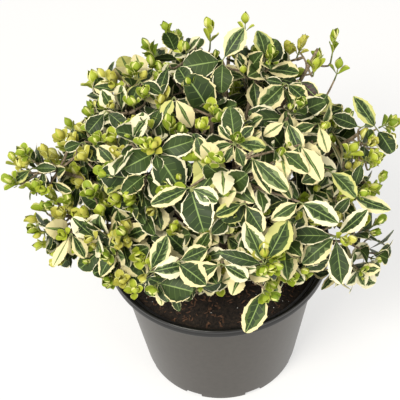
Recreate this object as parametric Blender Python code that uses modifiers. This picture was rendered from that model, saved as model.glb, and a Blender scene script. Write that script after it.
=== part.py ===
"""A potted variegated wintercreeper: a low evergreen shrub with white-edged leaves in a round nursery pot.

Metres, +Z up. The origin is the middle of the pot's flat underside. -Y is the plant's front.
"""

import math
import random
from collections import namedtuple

import bmesh
import bpy
from mathutils import Matrix, Vector
from mathutils.bvhtree import BVHTree

MM = 0.001
GAP = 0.3 * MM  # clearance between pieces that touch on the real plant

# Pot
POT_HEIGHT = 140 * MM
POT_RIM_RADIUS = 95 * MM
POT_RIM_DEPTH = 8 * MM
POT_RIM_WALL = 3.2 * MM
POT_SHOULDER_RADIUS = 87.2 * MM  # outside of the wall, just under the rim
POT_BASE_RADIUS = 69.7 * MM
POT_WALL = 1.8 * MM
POT_FLOOR = 3 * MM
POT_STEPS = 36
DRAIN_SLOTS = 8
DRAIN_SLOT_SIZE = (13 * MM, 15 * MM, 9 * MM)  # radial, across and up

# Soil
SOIL_TOP = 127 * MM
SOIL_RELIEF = ((16, 0.0), (38, -1.6), (62, 0.6))  # radius and rise, in mm

# Main stem
STEM_TOP = 182 * MM
STEM_FLARE_RADIUS = 8.5 * MM
STEM_RADIUS = 5.2 * MM
STEM_TIP_RADIUS = 4.2 * MM
STEM_LEAN = 2.5 * MM  # how far the top stands to the right of the foot

# Boughs
BOUGH_ROOT_RADIUS = 2.3 * MM
BOUGH_TIP_RADIUS = 1.5 * MM
BOUGH_BENDS = 2  # points along a bough, between its straight ends
BOUGH_END = 3 * MM  # the straight length at either end of a bough
BOUGH_LEVEL_RUN = 22 * MM  # the longest stretch over which a bough leaves the stem level

# Crown
CROWN_CENTRE = Vector((-4, 10, 218)) * MM
FORK = Vector((0, 0, 165)) * MM  # where the limbs seem to come from
MASS_ENTRY = 0.72  # how far inside its mass a bough ends, as a share of the mass's radius
CELL_MARGIN = 0.4 * MM

# Twigs and leaves
TIP_SPACING = 33 * MM
TIP_INSET = 0.3  # how far inside its mass a twig ends, as a share of the mass's radius: its leaves reach on
SPACE_SLACK = 3 * MM  # how far leaves may stand out of their mass where no neighbour is
WIDEST_TIP_ANGLE = math.radians(118)
MASS_STEM_RADIUS = 1.7 * MM
TWIG_RADIUS = 1.6 * MM
TWIG_TIP_RADIUS = 1.2 * MM
TWIG_POINTS = 3
LEAF_LENGTH = 32 * MM
LEAF_WIDTH = 25 * MM
LEAF_THICKNESS = 1.4 * MM
LEAF_BROADEST = 0.45  # where a leaf is broadest, as a share of its length
LEAF_DROOP = 0.1  # how far a leaf's tip bends down, as a share of its length
LEAF_PAIR_STEP = 11 * MM
LEAF_TURNS = (0, 0.4, -0.4, 0.8, -0.8)  # other ways a leaf may stand, in radians, where another is in its way
LEAF_SPREADS = (0, -0.25, 0.25)
LEAF_SUNK = 0.4 * MM  # how far past the middle of its twig a leaf's root lies
FULL_SIZE_RADIUS = 45 * MM  # leaves are full size in a mass of this radius, and smaller in a smaller one
BUD_LEAF_SHARE = 0.7  # the young leaf at a twig's tip, as a share of a grown one
GOLDEN_ANGLE = math.pi * (3 - math.sqrt(5))

# Each mass of foliage: the compass angle and rise of its centre seen from the crown's centre, in degrees, that
# centre's distance and its own radius in mm, the height of its bough's root up the main stem in mm, and a seed.
Mass = namedtuple("Mass", "name azimuth rise distance radius root seed")
MASSES = (
    Mass("right", 350, -6, 88, 48, 147, 411),
    Mass("right_back", 22, -11, 84, 48, 153, 1012),
    Mass("back_right", 60, -11, 84, 48, 135, 1213),
    Mass("back", 100, -11, 84, 48, 141, 14),
    Mass("left_back", 140, -11, 84, 48, 135, 15),
    Mass("left", 170, -7, 85, 48, 147, 616),
    Mass("left_front", 217, -10, 86, 47, 141, 1117),
    Mass("front", 256, -12, 80, 43, 135, 1918),
    Mass("front_right", 303, -11, 82, 45, 141, 219),
    Mass("upper_right", 348, 38, 72, 45, 171, 320),
    Mass("upper_back_right", 48, 40, 74, 45, 171, 221),
    Mass("upper_back_left", 107, 40, 72, 44, 147, 622),
    Mass("upper_left", 165, 38, 75, 45, 159, 23),
    Mass("upper_front_left", 228, 38, 74, 46, 147, 1824),
    Mass("upper_front_right", 288, 40, 76, 46, 153, 925),
    Mass("top", 60, 84, 54, 45, 182, 240),
    Mass("left_spray", 187, 11, 131, 32, 153, 1026),
    Mass("right_spray", 2, 14, 126, 31, 159, 327),
    Mass("back_spray", 33, 32, 122, 32, 165, 1828),
    Mass("crest_spray", 75, 41, 102, 32, 177, 1029),
    Mass("front_spray", 286, -9, 110, 33, 147, 30),
    Mass("low_right", 331, -16, 121, 39, 135, 1531),
    Mass("low_left", 198, -13, 116, 39, 135, 432),
)

COLOURS = {
    "pot_plastic": ((0.022, 0.022, 0.023), 0.42),
    "soil": ((0.022, 0.014, 0.009), 0.95),
    "bark": ((0.19, 0.135, 0.085), 0.8),
    "foliage": ((0.12, 0.25, 0.06), 0.5),
}


def material(name):
    made = bpy.data.materials.get(name)
    if made is None:
        colour, roughness = COLOURS[name]
        made = bpy.data.materials.new(name)
        made.use_nodes = True
        shader = made.node_tree.nodes["Principled BSDF"]
        shader.inputs["Base Color"].default_value = (*colour, 1)
        shader.inputs["Roughness"].default_value = roughness
        shader.inputs["Metallic"].default_value = 0
    return made


def new_object(name, data, collection):
    obj = bpy.data.objects.new(name, data)
    collection.objects.link(obj)
    return obj


def new_collection(name):
    made = bpy.data.collections.new(name)
    bpy.context.scene.collection.children.link(made)
    return made


def clear_scene():
    for obj in list(bpy.data.objects):
        bpy.data.objects.remove(obj)


def direction(azimuth, rise):
    a, r = math.radians(azimuth), math.radians(rise)
    return Vector((math.cos(a) * math.cos(r), math.sin(a) * math.cos(r), math.sin(r)))


def turned(name, profile, steps, collection):
    """A solid turned about Z from (radius, height) points that run up the inside and down the outside."""
    mesh = bpy.data.meshes.new(name)
    points = [(r, 0, z) for r, z in profile]
    mesh.from_pydata(points, [(i, i + 1) for i in range(len(points) - 1)], [])
    obj = new_object(name, mesh, collection)
    screw = obj.modifiers.new("turn", "SCREW")
    screw.steps = steps
    screw.render_steps = steps
    screw.use_merge_vertices = True
    screw.merge_threshold = 0.0001
    screw.use_smooth_shade = True
    return obj


def wall_radius(z):
    """The pot's outer radius at a height on its plain wall."""
    share = z / (POT_HEIGHT - POT_RIM_DEPTH)
    return POT_BASE_RADIUS + (POT_SHOULDER_RADIUS - POT_BASE_RADIUS) * share


def make_pot(collection, cutters):
    rim_foot = POT_HEIGHT - POT_RIM_DEPTH
    rim_inside = POT_RIM_RADIUS - POT_RIM_WALL
    bead = 0.9 * MM
    profile = [
        (0, POT_FLOOR),
        (wall_radius(POT_FLOOR) - POT_WALL - 1 * MM, POT_FLOOR),
        (wall_radius(POT_FLOOR + 1 * MM) - POT_WALL, POT_FLOOR + 1 * MM),
        (wall_radius(rim_foot - 2 * MM) - POT_WALL, rim_foot - 2 * MM),
        (rim_inside, rim_foot + 1.5 * MM),
        (rim_inside, POT_HEIGHT - bead),
        (rim_inside + bead, POT_HEIGHT),
        (POT_RIM_RADIUS - bead, POT_HEIGHT),
        (POT_RIM_RADIUS, POT_HEIGHT - bead),
        (POT_RIM_RADIUS, rim_foot + bead),
        (POT_RIM_RADIUS - bead, rim_foot),
        (wall_radius(rim_foot), rim_foot),
        (POT_BASE_RADIUS, 1 * MM),
        (POT_BASE_RADIUS - 1 * MM, 0),
        (0, 0),
    ]
    pot = turned("pot", profile, POT_STEPS, collection)
    pot.data.materials.append(material("pot_plastic"))
    bpy.ops.mesh.primitive_cube_add(size=1)
    slot = bpy.context.object
    slot.name = "drain_slot_cutter"
    slot.data.transform(Matrix.Diagonal((*DRAIN_SLOT_SIZE, 1)))
    slots = bmesh.new()
    for i in range(DRAIN_SLOTS):
        one = slot.data.copy()
        turn = Matrix.Rotation(2 * math.pi * (i + 0.5) / DRAIN_SLOTS, 4, "Z")
        one.transform(turn @ Matrix.Translation((POT_BASE_RADIUS, 0, 0)))
        slots.from_mesh(one)
        bpy.data.meshes.remove(one)
    slots.to_mesh(slot.data)
    slots.free()
    bpy.context.collection.objects.unlink(slot)
    cutters.objects.link(slot)
    slot.hide_render = True
    slot.display_type = "WIRE"
    cut = pot.modifiers.new("drain slots", "BOOLEAN")
    cut.operation = "DIFFERENCE"
    cut.object = slot
    return pot


def make_soil(collection):
    inside = POT_WALL + GAP
    edge, foot = SOIL_TOP - 1.5 * MM, POT_FLOOR + 2 * MM
    profile = [(0, SOIL_TOP)]
    profile += [(r * MM, SOIL_TOP + rise * MM) for r, rise in SOIL_RELIEF]
    profile += [
        (wall_radius(edge) - inside, edge),
        (wall_radius(foot) - inside, foot),
        (wall_radius(POT_FLOOR) - inside - 2 * MM, POT_FLOOR + GAP),
        (0, POT_FLOOR + GAP),
    ]
    soil = turned("soil", profile, POT_STEPS, collection)
    soil.data.materials.append(material("soil"))
    return soil


def limb(name, points, radii, collection):
    """A tapering round limb through the points, with flat ends."""
    curve = bpy.data.curves.new(name, "CURVE")
    curve.dimensions = "3D"
    curve.bevel_depth = 1
    curve.bevel_resolution = 1
    curve.use_fill_caps = True
    spline = curve.splines.new("POLY")
    spline.points.add(len(points) - 1)
    for place, point, radius in zip(spline.points, points, radii):
        place.co = (*point, 1)
        place.radius = radius
    obj = new_object(name, curve, collection)
    curve.materials.append(material("bark"))
    return obj


def stem_axis(z):
    """The main stem's middle at a height: upright at the foot, leaning gently above."""
    share = (z - SOIL_TOP) / (STEM_TOP - SOIL_TOP)
    return Vector((STEM_LEAN * share * share, 0, z))


def stem_radius(z):
    share = (z - SOIL_TOP) / (STEM_TOP - SOIL_TOP)
    plain = STEM_RADIUS + (STEM_TIP_RADIUS - STEM_RADIUS) * share
    return plain + (STEM_FLARE_RADIUS - STEM_RADIUS) * math.exp(-share * 12)


def make_stem(collection):
    foot = SOIL_TOP + GAP
    heights = [foot] + [foot + rise * MM for rise in (0.8, 3, 7, 13, 23, 35)] + [STEM_TOP]
    return limb("stem", [stem_axis(z) for z in heights], [stem_radius(z) for z in heights], collection)


def bezier(p0, p1, p2, p3, t):
    s = 1 - t
    return p0 * s**3 + p1 * (3 * s * s * t) + p2 * (3 * s * t * t) + p3 * t**3


def mass_centre(mass):
    return CROWN_CENTRE + direction(mass.azimuth, mass.rise) * (mass.distance * MM)


def mass_axis(mass):
    return (mass_centre(mass) - FORK).normalized()


def bough_path(mass):
    """From a flat seat on the main stem, level at first, then out and up to the edge of its mass."""
    axis = mass_axis(mass)
    end = mass_centre(mass) - axis * (MASS_ENTRY * mass.radius * MM)
    height = mass.root * MM
    if height >= STEM_TOP:
        start = stem_axis(STEM_TOP) + Vector((0, 0, GAP))
        out = Vector((0, 0, 1))
    else:
        out = end - stem_axis(height)
        out.z = 0
        out.normalize()
        start = stem_axis(height) + out * (stem_radius(height - BOUGH_ROOT_RADIUS) + GAP)
    near, far = start + out * BOUGH_END, end - axis * BOUGH_END
    span = (far - near).length
    first = near + out * min(0.34 * span, BOUGH_LEVEL_RUN)
    last = far - axis * (0.34 * span)
    steps = [i / (BOUGH_BENDS + 1) for i in range(BOUGH_BENDS + 2)]
    return [start] + [bezier(near, first, last, far, t) for t in steps] + [end]


def make_bough(mass, collection):
    path = bough_path(mass)
    steps = [i / (len(path) - 1) for i in range(len(path))]
    radii = [BOUGH_ROOT_RADIUS + (BOUGH_TIP_RADIUS - BOUGH_ROOT_RADIUS) * t for t in steps]
    return limb("bough_" + mass.name, path, radii, collection)


def own_space(mass, point):
    """How far a point lies inside the mass's own part of the crown, which flat walls part from its neighbours'."""
    centre, radius = mass_centre(mass), mass.radius * MM
    here = (point - centre).length_squared - radius * radius
    found = radius + SPACE_SLACK - (point - centre).length
    for other in MASSES:
        if other is mass:
            continue
        middle, reach = mass_centre(other), other.radius * MM
        there = (point - middle).length_squared - reach * reach
        found = min(found, (there - here) / (2 * (middle - centre).length))
    return found


def clear_of_pot(points):
    """True if the points are all above the rim, all inside it and above the soil, or all outside it."""
    radii = [math.hypot(p.x, p.y) for p in points]
    heights = [p.z for p in points]
    above = min(heights) > POT_HEIGHT + 1 * MM
    inside = max(radii) < POT_SHOULDER_RADIUS - 4 * MM and min(heights) > SOIL_TOP + 2.5 * MM
    outside = min(radii) > POT_RIM_RADIUS + 1 * MM
    return above or inside or outside


def mass_stem_path(mass):
    """The stem inside a mass: on from its bough's tip, bending a little upwards."""
    axis, radius = mass_axis(mass), mass.radius * MM
    start = bough_path(mass)[-1] + axis * GAP
    end = mass_centre(mass) + axis * (0.12 * radius) + Vector((0, 0, 0.08 * radius))
    return [start, start + axis * (0.35 * radius), end]


def twig_paths(mass):
    """The mass's twigs by its seeded rule: each leaves the stem and curves out and up to an even share of the surface."""
    rng = random.Random(mass.seed)
    axis, centre = mass_axis(mass), mass_centre(mass)
    side = axis.orthogonal().normalized()
    other = axis.cross(side)
    reach = mass.radius * MM * (1 - TIP_INSET)
    stem = mass_stem_path(mass)
    depth = 1 - math.cos(WIDEST_TIP_ANGLE)
    count = max(5, round(2 * math.pi * reach * reach * depth / TIP_SPACING**2))
    start_turn = rng.uniform(0, 2 * math.pi)
    twigs = []
    for i in range(count):
        fall = 1 - depth * (i + 0.35) / count
        turn = start_turn + i * GOLDEN_ANGLE + rng.uniform(-0.2, 0.2)
        across = math.sqrt(max(0, 1 - fall * fall))
        out = axis * fall + (side * math.cos(turn) + other * math.sin(turn)) * across
        tip = centre + out * (reach * rng.uniform(0.9, 1.04))
        along = 0.3 + 0.7 * max(0, fall)
        root = stem[0].lerp(stem[1], along * 2) if along < 0.5 else stem[1].lerp(stem[2], along * 2 - 1)
        span = (tip - root).length
        final = (out * 0.75 + Vector((0, 0, 0.55))).normalized()
        path = [
            bezier(root, root + axis * (0.3 * span), tip - final * (0.36 * span), tip, t / (TWIG_POINTS - 1))
            for t in range(TWIG_POINTS)
        ]
        roomy = min(own_space(mass, p) for p in path[1:]) > 3 * MM and own_space(mass, tip) > 6 * MM
        if roomy and clear_of_pot(path):
            twigs.append(path)
    return twigs


def tube(points, radii, sides=3):
    """A tapering tube of flat sides, closed at both ends."""
    made = bmesh.new()
    rings = []
    up = (points[1] - points[0]).orthogonal().normalized()
    for i, point in enumerate(points):
        ahead = (points[min(i + 1, len(points) - 1)] - points[max(i - 1, 0)]).normalized()
        up = (up - ahead * up.dot(ahead)).normalized()
        across = ahead.cross(up)
        turns = [2 * math.pi * k / sides for k in range(sides)]
        rings.append([made.verts.new(point + (up * math.cos(a) + across * math.sin(a)) * radii[i]) for a in turns])
    for near, far in zip(rings, rings[1:]):
        for k in range(sides):
            made.faces.new((near[k], near[(k + 1) % sides], far[(k + 1) % sides], far[k]))
    made.faces.new(reversed(rings[0]))
    made.faces.new(rings[-1])
    return made


def leaf(root, along, face, length, width):
    """A leaf as a four-cornered lens, from its root point along its midrib, with its upper side towards face."""
    along = along.normalized()
    across = face.cross(along).normalized()
    thick = along.cross(across).normalized()
    middle = root + along * (LEAF_BROADEST * length)
    made = bmesh.new()
    tip = made.verts.new(root + along * length - thick * (LEAF_DROOP * length))
    foot = made.verts.new(root)
    left, right = (made.verts.new(middle + across * (width / 2 * s)) for s in (1, -1))
    top, under = (made.verts.new(middle + thick * (LEAF_THICKNESS / 2 * s)) for s in (1, -1))
    for a, b in ((foot, right), (right, tip), (tip, left), (left, foot)):
        made.faces.new((a, b, top))
        made.faces.new((b, a, under))
    return made


def nodes_on(path, rng):
    """Where the leaf pairs of a twig stand, from its tip back: the place, the twig's direction there and the turn."""
    lengths = [(b - a).length for a, b in zip(path, path[1:])]
    total = sum(lengths)
    turn = rng.uniform(0, math.pi)
    found = []
    back = 3 * MM
    while back < total * 0.8:
        ahead_of = total - back
        i = 0
        while ahead_of > lengths[i]:
            ahead_of -= lengths[i]
            i += 1
        place = path[i].lerp(path[i + 1], ahead_of / lengths[i])
        found.append((place, (path[i + 1] - path[i]).normalized(), turn + len(found) * math.pi / 2))
        back += LEAF_PAIR_STEP
    return found


def leaf_choices(place, ahead, turn, spread, size):
    """The ways one leaf may stand at its place, the best first."""
    side = ahead.orthogonal().normalized()
    other = ahead.cross(side)
    for more_spread in LEAF_SPREADS:
        for more_turn in LEAF_TURNS:
            a, b = turn + more_turn, spread + more_spread
            along = ahead * math.cos(b) + (side * math.cos(a) + other * math.sin(a)) * math.sin(b)
            yield place - along * LEAF_SUNK, along, ahead, LEAF_LENGTH * size, LEAF_WIDTH * size


def leaves_on(path, share, rng):
    """Each leaf of a twig as the list of ways it may stand: crossed pairs, and one young leaf at the tip."""
    ahead = (path[-1] - path[-2]).normalized()
    length, width = LEAF_LENGTH * BUD_LEAF_SHARE * share, LEAF_WIDTH * 0.5 * share
    found = [[(path[-1] - ahead * (1.5 * MM), ahead, ahead.orthogonal(), length, width)]]
    for pair, (place, ahead, turn) in enumerate(nodes_on(path, rng)):
        for half in range(2):
            spread, size = math.radians(54 + 8 * pair), share * rng.uniform(0.85, 1.1)
            found.append(list(leaf_choices(place, ahead, turn + half * math.pi, spread, size)))
    return found


def tree_of(made):
    return BVHTree.FromBMesh(made)


def largest_body(obj):
    """Leaves only the biggest closed body of a joined mesh, which drops loose scraps and fills sealed hollows."""
    made = bmesh.new()
    made.from_mesh(obj.data)
    left, bodies = set(made.faces), []
    while left:
        body, edge = set(), [left.pop()]
        while edge:
            face = edge.pop()
            body.add(face)
            for near in {f for link in face.edges for f in link.link_faces} & left:
                left.remove(near)
                edge.append(near)
        bodies.append(body)
    bodies.sort(key=len)
    for body in bodies[:-1]:
        bmesh.ops.delete(made, geom=list(body), context="FACES")
    made.to_mesh(obj.data)
    made.free()


def fuse(obj, pieces):
    """Joins the pieces to the object by one Boolean union, applies it and removes them."""
    joined = obj.modifiers.new("fuse", "BOOLEAN")
    joined.operation = "UNION"
    joined.solver = "MANIFOLD"
    joined.operand_type = "COLLECTION"
    joined.collection = pieces
    graph = bpy.context.evaluated_depsgraph_get()
    mesh = bpy.data.meshes.new_from_object(obj.evaluated_get(graph))
    obj.modifiers.clear()
    obj.data = mesh
    for piece in list(pieces.objects):
        bpy.data.objects.remove(piece)
    bpy.data.collections.remove(pieces)
    largest_body(obj)


def as_mesh(name, made):
    mesh = bpy.data.meshes.new(name)
    made.to_mesh(mesh)
    return mesh


def placed_leaf(mass, choices, limbs, others):
    """The first way for a leaf to stand that keeps to the mass's space and clear of other leaves, or None."""
    for root, along, face, length, width in choices:
        made = leaf(root, along, face, length, width)
        corners = [v.co.copy() for v in made.verts]
        if min(own_space(mass, p) for p in corners) > CELL_MARGIN and clear_of_pot(corners):
            outer = leaf(root + along * (0.12 * length), along, face, length * 0.86, width * 0.95)
            whole, blade = tree_of(made), tree_of(outer)
            outer.free()
            if not any(whole.overlap(tree) for tree in limbs) and not any(blade.overlap(tree) for tree in others):
                mesh = as_mesh("leaf", made)
                made.free()
                return mesh, blade
        made.free()
    return None


def make_mass(mass, limbs, collection):
    """A mass of foliage: its stem, twigs and leaves, fused into one solid that stays in its own space."""
    rng = random.Random(mass.seed + 1000)
    share = min(1, mass.radius * MM / FULL_SIZE_RADIUS)
    stem_mesh = tube(mass_stem_path(mass), (MASS_STEM_RADIUS, MASS_STEM_RADIUS * 0.85, TWIG_RADIUS))
    obj = new_object("leaves_" + mass.name, as_mesh(mass.name, stem_mesh), collection)
    pieces = new_collection("pieces of " + mass.name)
    placed = [tree_of(stem_mesh)]
    stem_mesh.free()
    twigs = []
    for path in twig_paths(mass):
        steps = [i / (len(path) - 1) for i in range(len(path))]
        made = tube(path, [TWIG_RADIUS + (TWIG_TIP_RADIUS - TWIG_RADIUS) * t for t in steps])
        if not any(tree_of(made).overlap(tree) for tree in limbs):
            new_object("twig", as_mesh("twig", made), pieces)
            twigs.append((path, tree_of(made)))
        made.free()
    for path, own in twigs:
        others = [tree for _, tree in twigs if tree is not own]
        for choices in leaves_on(path, share, rng):
            found = placed_leaf(mass, choices, limbs, placed + others)
            if found:
                new_object("leaf", found[0], pieces)
                placed.append(found[1])
    fuse(obj, pieces)
    print(mass.name, len(twigs), "twigs", len(placed) - 1, "leaves", len(obj.data.polygons), "faces")
    obj.data.materials.clear()
    obj.data.materials.append(material("foliage"))
    return obj


def clearance_tree(path, radii):
    """A search tree of a limb made a little thicker, to keep foliage clear of it."""
    made = tube(path, [r + 2 * GAP for r in radii], sides=6)
    tree = tree_of(made)
    made.free()
    return tree


def main():
    clear_scene()
    plant = new_collection("potted wintercreeper")
    cutters = new_collection("cutters")
    make_pot(plant, cutters)
    make_soil(plant)
    make_stem(plant)
    heights = [SOIL_TOP, SOIL_TOP + 8 * MM, STEM_TOP]
    limbs = [clearance_tree([stem_axis(z) for z in heights], [stem_radius(z) for z in heights])]
    for mass in MASSES:
        make_bough(mass, plant)
        path = bough_path(mass)
        radii = [BOUGH_ROOT_RADIUS] * (len(path) - 1) + [BOUGH_TIP_RADIUS]
        path[-1] = path[-1] - mass_axis(mass) * (2 * GAP)
        limbs.append(clearance_tree(path, radii))
    for mass in MASSES:
        make_mass(mass, limbs, plant)


main()
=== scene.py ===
"""A variegated wintercreeper in its nursery pot: leaves, shoots, bark, soil and pot as finished surfaces.

Metres, +Z up. The origin is the middle of the pot's underside. -Y is the plant's front.
"""

import math
import random
from collections import namedtuple

import bmesh
import bpy
import numpy as np
from mathutils import Matrix, Vector, noise


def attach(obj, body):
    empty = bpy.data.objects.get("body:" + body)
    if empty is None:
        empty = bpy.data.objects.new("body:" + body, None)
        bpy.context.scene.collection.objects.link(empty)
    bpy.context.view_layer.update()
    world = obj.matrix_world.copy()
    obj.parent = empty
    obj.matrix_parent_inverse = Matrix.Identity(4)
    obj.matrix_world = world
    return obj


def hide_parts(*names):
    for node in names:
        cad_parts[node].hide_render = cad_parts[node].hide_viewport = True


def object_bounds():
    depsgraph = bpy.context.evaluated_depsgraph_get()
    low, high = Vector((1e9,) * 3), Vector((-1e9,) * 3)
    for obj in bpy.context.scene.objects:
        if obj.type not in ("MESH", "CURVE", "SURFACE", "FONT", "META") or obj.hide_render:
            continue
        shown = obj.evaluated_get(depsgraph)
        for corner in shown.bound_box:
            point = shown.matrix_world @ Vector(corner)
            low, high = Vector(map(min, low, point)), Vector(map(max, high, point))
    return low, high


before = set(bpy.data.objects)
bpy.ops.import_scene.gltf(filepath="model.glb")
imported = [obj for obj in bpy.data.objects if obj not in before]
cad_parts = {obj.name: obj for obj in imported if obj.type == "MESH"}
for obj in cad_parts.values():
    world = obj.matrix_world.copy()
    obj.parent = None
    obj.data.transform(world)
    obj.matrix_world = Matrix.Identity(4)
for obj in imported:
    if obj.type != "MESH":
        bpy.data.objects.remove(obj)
CAD_BOX = [list(corner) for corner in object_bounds()]

MM = 0.001
GAP = 0.3 * MM

# Pot
POT_HEIGHT = 140 * MM
POT_RIM_RADIUS = 95 * MM
POT_RIM_DEPTH = 8 * MM
POT_RIM_WALL = 3.2 * MM
POT_SHOULDER_RADIUS = 87.2 * MM
POT_BASE_RADIUS = 69.7 * MM
POT_WALL = 1.8 * MM
POT_STEPS = 192
POT_FLOOR = 3 * MM
POT_LIP_ROUND = 0.9 * MM
POT_FOOT_ROUND = 1 * MM
POT_INNER_HEIGHTS = (30, 60, 90, 115, 126)
POT_OUTER_HEIGHTS = (128, 115, 95, 70, 45, 25, 12, 7)
POT_RIM_GROOVE = ((0.35, 2.4), (0.4, 3), (0.1, 3.6))
POT_SHARP_ANGLE = math.radians(40)
DRAIN_SLOTS = 8
DRAIN_SLOT_SIZE = (13 * MM, 15 * MM, 9 * MM)

# Soil
SOIL_TOP = 127 * MM
SOIL_FOOT = 100 * MM
SOIL_SLACK = 0.4 * MM
SOIL_RINGS = 60
SOIL_STEPS = 150
SOIL_BITS = 2600
BIT_SHARES = (70, 27, 3)
BIT_LENGTHS = ((1.2, 3.2), (2.5, 8), (0.7, 1.3))
SOIL_WAVES = ((2.2 * MM, 35), (1.3 * MM, 110), (0.8 * MM, 300))

# Main stem and boughs, as the solids have them
STEM_TOP = 182 * MM
STEM_FLARE_RADIUS = 8.5 * MM
STEM_RADIUS = 5.2 * MM
STEM_TIP_RADIUS = 4.2 * MM
STEM_LEAN = 2.5 * MM
BOUGH_ROOT_RADIUS = 2.3 * MM
BOUGH_TIP_RADIUS = 1.5 * MM
BOUGH_BENDS = 9
BOUGH_END = 3 * MM
BOUGH_LEVEL_RUN = 22 * MM

# Crown
CROWN_CENTRE = Vector((-4, 10, 218)) * MM
FORK = Vector((0, 0, 165)) * MM
MASS_ENTRY = 0.72
SPACE_SLACK = 3 * MM
WIDEST_TIP_ANGLE = math.radians(118)
TIP_SPACING = 33 * MM
FINE_TIP_SPACING = 26 * MM
TIP_INSET = 0.3
MASS_STEM_RADIUS = 1.7 * MM
TWIG_RADIUS = 1.1 * MM
TWIG_TIP_RADIUS = 0.7 * MM
TWIG_BENDS = 4
PLACED_TWIG_BENDS = 5
GOLDEN_ANGLE = math.pi * (3 - math.sqrt(5))

# The plane that the front of the crown faces, raised as the camera is
FRONT_RIGHT = Vector((1, 0, 0))
FRONT_UP = Vector((0, math.sin(math.radians(50)), math.cos(math.radians(50))))
FRONT_OUT = FRONT_RIGHT.cross(FRONT_UP)

# Leaves
LEAF_LENGTH = 27 * MM
LEAF_WIDTH = 19 * MM
LEAF_VEINS = 5
FIRST_VEIN = 0.13
VEIN_STEP = 0.155
VEIN_SHARE = 0.009
VEIN_SLANT = 0.2
VEIN_DEPTH = 0.12 * MM
RIB_SHARE = 0.045
TOOTH_OUT = 1.05
TOOTH_IN = 0.955
PETIOLE = 2.5 * MM
LEAF_CLEARANCE = 7.5 * MM
LEAF_OVERHANG = 2.5 * MM
LEAF_TURNS = (0, 0.35, -0.35, 0.7, -0.7, 1.0)
PAIR_SPREADS = (48, 66, 80)
PAIR_SIZES = (0.8, 1.0, 0.95)
MOST_PAIRS = 3
PAIR_STEP = 8 * MM
YOUNG_LENGTH = 11 * MM
YOUNG_WIDTH = 7.5 * MM
YOUNG_STATIONS = 6
YOUNG_STEP = 6.5 * MM
BUD_LENGTH = 10.5 * MM
BUD_RADIUS = 3.4 * MM
BUD_SWELL = (0.22, 0.72, 0.97, 1.0, 0.86, 0.58, 0.16)
BUD_WRAP = (-94, -70, 0, 70, 94)
REACH_PAST_SOLIDS = 9 * MM
LEAST_TWIGS = 0.35
PLAIN_MASS_RADIUS = 45
MOST_TRIANGLES = 180000

# Seeds of the placed sprays, the stem and the soil, and what is added to a mass's own seed for its kept
# twigs, its shoots and its finer twigs
SPRAY_SEED = 2024
STEM_SEED = 5
SOIL_SEED = 77
KEPT_SEED = 3
SHOOT_SEED = 7
FINE_SEED = 5000

# The camera: how far it stands from the rim's middle, its elevation and roll in degrees, the photograph's
# frame, and where the rim's middle lies in it
CAMERA_DISTANCE = 900 * MM
CAMERA_ELEVATION = 50
CAMERA_ROLL = 2.21
FRAME_PIXELS = 400
FOCAL_PIXELS = 1059
RIM_AT = (217.5, 239.7)
SENSOR_WIDTH = 36

# The studio: a pale floor, an even sky and two lamps, each with its place in metres, power and size
FLOOR_HALF_SIZE = 6
FLOOR_DROP = 0.5 * MM
FLOOR_GREY = 0.42
FLOOR_GLOW = 0.55
SKY_COLOUR = (1, 0.985, 0.95)
SKY_STRENGTH = 0.62
LAMP_COLOUR = (1, 0.96, 0.88)
LAMP_AIM = Vector((0, 0, 0.2))
LAMPS = (("key", (-0.6, -0.9, 1.5), 26, 0.6), ("fill", (1.2, -0.9, 0.9), 8, 1.0))

Mass = namedtuple("Mass", "name azimuth rise distance radius root seed young cream fill")
MASSES = (
    Mass("right", 350, -6, 88, 48, 147, 411, 0.35, 0.55, 0.9),
    Mass("right_back", 22, -11, 84, 48, 153, 1012, 0.4, 0.4, 1),
    Mass("back_right", 60, -11, 84, 48, 135, 1213, 0.45, 0.35, 1),
    Mass("back", 100, -11, 84, 48, 141, 14, 0.45, 0.35, 1),
    Mass("left_back", 140, -11, 84, 48, 135, 15, 0.7, 0.3, 1),
    Mass("left", 170, -7, 85, 48, 147, 616, 0.95, 0.3, 1),
    Mass("left_front", 217, -10, 86, 47, 141, 1117, 0.75, 0.4, 1),
    Mass("front", 256, -12, 80, 43, 135, 1918, 0.45, 0.5, 0.8),
    Mass("front_right", 303, -11, 82, 45, 141, 219, 0.3, 0.5, 1),
    Mass("upper_right", 348, 38, 72, 45, 171, 320, 0.3, 0.6, 0.9),
    Mass("upper_back_right", 48, 40, 74, 45, 171, 221, 0.4, 0.35, 0.7),
    Mass("upper_back_left", 107, 40, 72, 44, 147, 622, 0.4, 0.3, 0.7),
    Mass("upper_left", 165, 38, 75, 45, 159, 23, 0.85, 0.3, 0.95),
    Mass("upper_front_left", 228, 38, 74, 46, 147, 1824, 0.65, 0.35, 1),
    Mass("upper_front_right", 288, 40, 76, 46, 153, 925, 0.3, 0.5, 1),
    Mass("top", 60, 84, 54, 45, 182, 240, 0.35, 0.4, 0.5),
    Mass("left_spray", 187, 11, 131, 32, 153, 1026, 0.95, 0.25, 0.2),
    Mass("right_spray", 2, 14, 126, 31, 159, 327, 0.6, 0.35, 0.12),
    Mass("back_spray", 33, 32, 122, 32, 165, 1828, 0.85, 0.3, 0.1),
    Mass("crest_spray", 75, 41, 102, 32, 177, 1029, 0.8, 0.3, 0.12),
    Mass("front_spray", 286, -9, 110, 33, 147, 30, 0.5, 0.5, 0.15),
    Mass("low_right", 331, -16, 121, 39, 135, 1531, 0.35, 0.45, 0.45),
    Mass("low_left", 198, -13, 116, 39, 135, 432, 0.75, 0.35, 0.6),
)

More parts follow.
